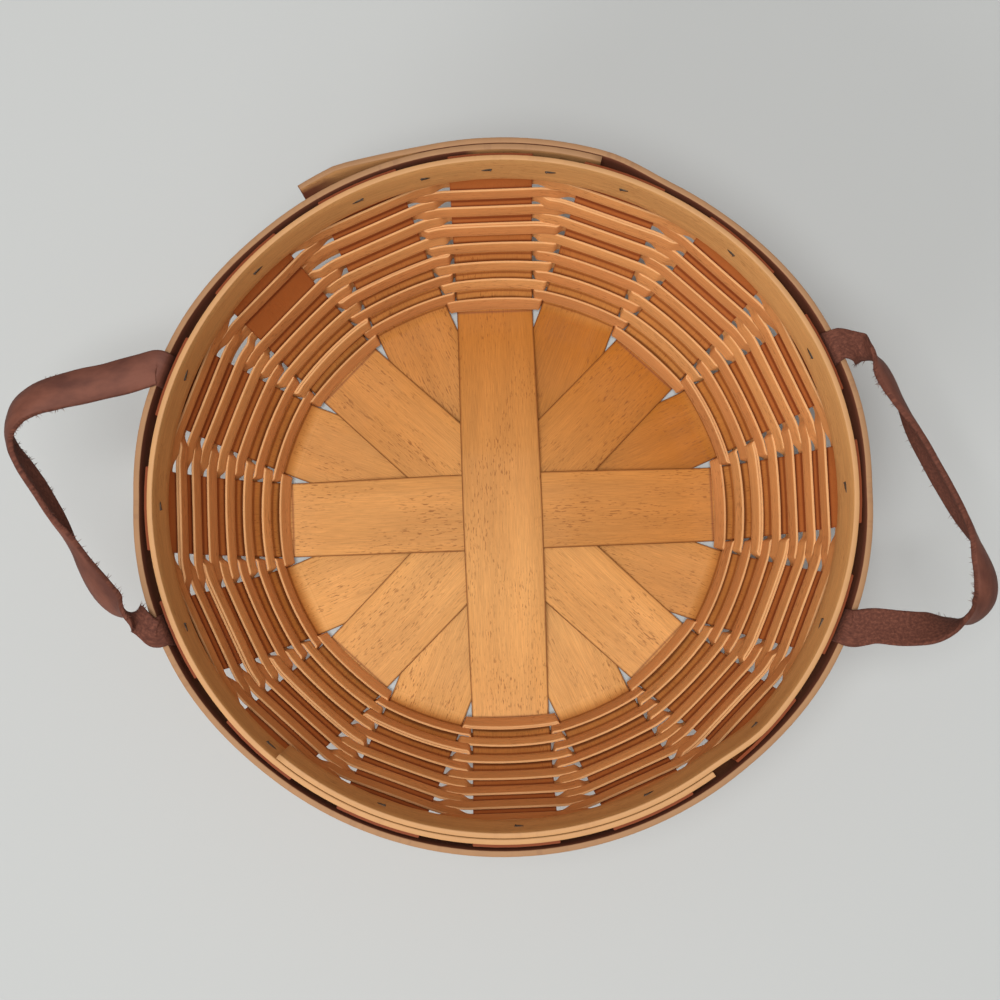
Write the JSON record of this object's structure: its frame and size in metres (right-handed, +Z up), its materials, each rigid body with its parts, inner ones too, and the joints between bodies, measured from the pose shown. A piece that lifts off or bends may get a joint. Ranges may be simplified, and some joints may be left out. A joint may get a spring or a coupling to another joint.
{
  "type": "round splint basket",
  "caption": "Round shallow basket woven of flat wood splints, with a banded rim and a leather loop handle on each side.",
  "frame": {"origin": "middle of the underside, on the lowest base strip, where the basket's axis meets the surface it stands on", "axes": "+Z up along the basket's axis, +X towards the right handle, +Y along the topmost base strip"},
  "size_m": [0.343, 0.2476, 0.1091],
  "materials": {
    "upright_splint": "golden-tan oiled splint",
    "weaver_splint": "warm brown oiled splint",
    "rim_splint": "warm brown oiled wood",
    "leather_strap": "dark brown, smooth one side and suede the other",
    "tack_metal": "darkened steel"
  },
  "bodies": {
    "basket": {"upright_splint_01": "upright_splint", "upright_splint_02": "upright_splint", "upright_splint_03": "upright_splint", "upright_splint_04": "upright_splint", "upright_splint_05": "upright_splint", "upright_splint_06": "upright_splint", "upright_splint_07": "upright_splint", "upright_splint_08": "upright_splint", "weaver_row_01": "weaver_splint", "weaver_row_02": "weaver_splint", "weaver_row_03": "weaver_splint", "weaver_row_04": "weaver_splint", "weaver_row_05": "weaver_splint", "weaver_row_06": "weaver_splint", "weaver_row_07": "weaver_splint", "weaver_row_08": "weaver_splint", "weaver_row_09": "weaver_splint", "weaver_row_10": "weaver_splint", "weaver_row_11": "weaver_splint", "weaver_row_12": "weaver_splint", "weaver_row_13": "weaver_splint", "weaver_row_14": "weaver_splint", "inner_rim_band": "rim_splint", "outer_rim_band": "rim_splint", "rim_tack_01": "tack_metal", "rim_tack_02": "tack_metal", "rim_tack_03": "tack_metal", "rim_tack_04": "tack_metal", "rim_tack_05": "tack_metal", "rim_tack_06": "tack_metal", "rim_tack_07": "tack_metal", "rim_tack_08": "tack_metal", "rim_tack_09": "tack_metal", "rim_tack_10": "tack_metal", "rim_tack_11": "tack_metal", "rim_tack_12": "tack_metal", "rim_tack_13": "tack_metal", "rim_tack_14": "tack_metal", "rim_tack_15": "tack_metal", "rim_tack_16": "tack_metal", "rim_tack_17": "tack_metal", "rim_tack_18": "tack_metal", "right_handle_tuck_a": "leather_strap", "right_handle_tuck_b": "leather_strap", "left_handle_tuck_a": "leather_strap", "left_handle_tuck_b": "leather_strap"},
    "right_handle": {"right_handle_loop": "leather_strap"},
    "left_handle": {"left_handle_loop": "leather_strap"}
  },
  "joints": [
    {"name": "right_handle_swing", "type": "hinge", "parent": "basket", "child": "right_handle", "pos_m": [0.12353, 0, 0.10362], "axis": [0, -1, 0], "range_deg": [-30, 80]},
    {"name": "left_handle_swing", "type": "hinge", "parent": "basket", "child": "left_handle", "pos_m": [-0.12349, 0.00282, 0.10362], "axis": [0.0243, 0.9997, 0], "range_deg": [-30, 80]}
  ]
}
